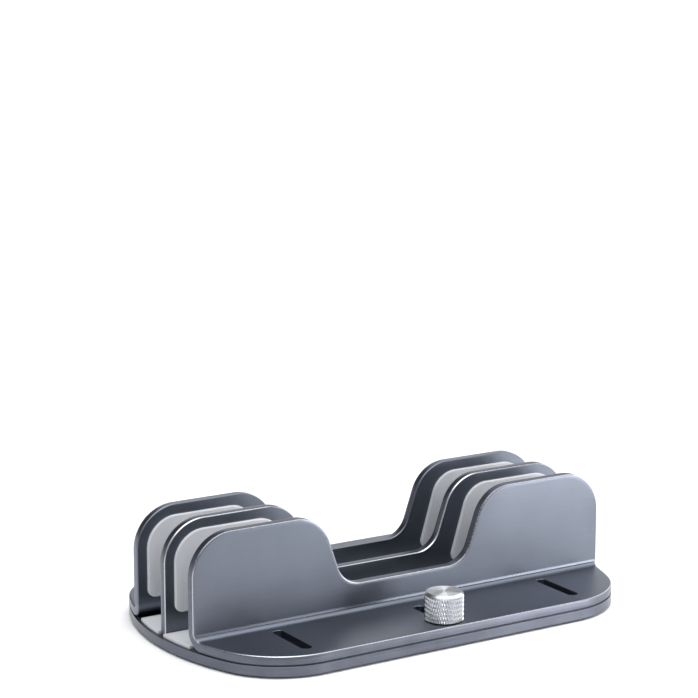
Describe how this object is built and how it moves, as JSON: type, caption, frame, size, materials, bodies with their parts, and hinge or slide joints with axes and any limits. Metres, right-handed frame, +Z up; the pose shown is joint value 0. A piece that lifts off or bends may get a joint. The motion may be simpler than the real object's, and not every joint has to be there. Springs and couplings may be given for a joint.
{
  "type": "vertical laptop stand",
  "caption": "Low aluminium stand with a fixed divider and sliding clamps that hold a tablet and a laptop on edge, each clamp locked by a knurled thumb screw.",
  "frame": {"origin": "centre of the footprint, at the level of the desk that the rubber feet stand on", "axes": "+X along the length of the stand, -Y towards the person facing the front thumb screw, +Z up"},
  "size_m": [0.1844, 0.114, 0.0471],
  "materials": {
    "anodised_grey": "blue-grey anodised, fine bead-blasted grain, bright cut edges",
    "silver_aluminium": "bright turned aluminium with a diamond knurl",
    "zinc_steel": "zinc plated",
    "black_steel": "black oxide",
    "pale_silicone": "matt pale grey silicone",
    "black_rubber": "matt black",
    "black_nylon": "satin black nylon"
  },
  "bodies": {
    "base": {"base_plate": "anodised_grey", "centre_divider": "anodised_grey", "divider_screw_left": "zinc_steel", "divider_screw_centre": "zinc_steel", "divider_screw_right": "zinc_steel", "front_channel_pad": "pale_silicone", "rear_channel_pad": "pale_silicone", "front_press_nut": "zinc_steel", "rear_press_nut": "zinc_steel", "front_guide_pin_left": "black_steel", "front_guide_pin_right": "black_steel", "rear_guide_pin_left": "black_steel", "rear_guide_pin_right": "black_steel", "front_divider_pad_left": "pale_silicone", "front_divider_pad_right": "pale_silicone", "rear_divider_pad_left": "pale_silicone", "rear_divider_pad_right": "pale_silicone", "front_foot_pad_left": "black_rubber", "front_foot_pad_right": "black_rubber", "rear_foot_pad_left": "black_rubber", "rear_foot_pad_right": "black_rubber"},
    "front_clamp": {"front_clamp": "anodised_grey", "front_clamp_pad_left": "pale_silicone", "front_clamp_pad_right": "pale_silicone"},
    "rear_clamp": {"rear_clamp": "anodised_grey", "rear_clamp_pad_left": "pale_silicone", "rear_clamp_pad_right": "pale_silicone"},
    "front_washer": {"front_screw_washer": "black_nylon"},
    "front_screw": {"front_thumb_knob": "silver_aluminium", "front_screw_stud": "zinc_steel"},
    "rear_washer": {"rear_screw_washer": "black_nylon"},
    "rear_screw": {"rear_thumb_knob": "silver_aluminium", "rear_screw_stud": "zinc_steel"}
  },
  "joints": [
    {"name": "front_clamp_slide", "type": "slide", "parent": "base", "child": "front_clamp", "axis": [0, -1, 0], "range_m": [0, 0.016]},
    {"name": "rear_clamp_slide", "type": "slide", "parent": "base", "child": "rear_clamp", "axis": [0, 1, 0], "range_m": [0, 0.016]},
    {"name": "front_screw_lift", "type": "slide", "parent": "base", "child": "front_washer", "axis": [0, 0, 1], "range_m": [0, 0.00141]},
    {"name": "front_screw_turn", "type": "hinge", "parent": "front_washer", "child": "front_screw", "pos_m": [0, -0.0486, 0.0135], "axis": [0, 0, 1], "range_deg": [0, 720]},
    {"name": "rear_screw_lift", "type": "slide", "parent": "base", "child": "rear_washer", "axis": [0, 0, 1], "range_m": [0, 0.00141]},
    {"name": "rear_screw_turn", "type": "hinge", "parent": "rear_washer", "child": "rear_screw", "pos_m": [0, 0.0486, 0.0135], "axis": [0, 0, 1], "range_deg": [0, 720]}
  ],
  "couplings": [
    {"joint": "front_screw_lift", "follows": "front_screw_turn", "m_per_rad": 0.00011141},
    {"joint": "rear_screw_lift", "follows": "rear_screw_turn", "m_per_rad": 0.00011141}
  ]
}
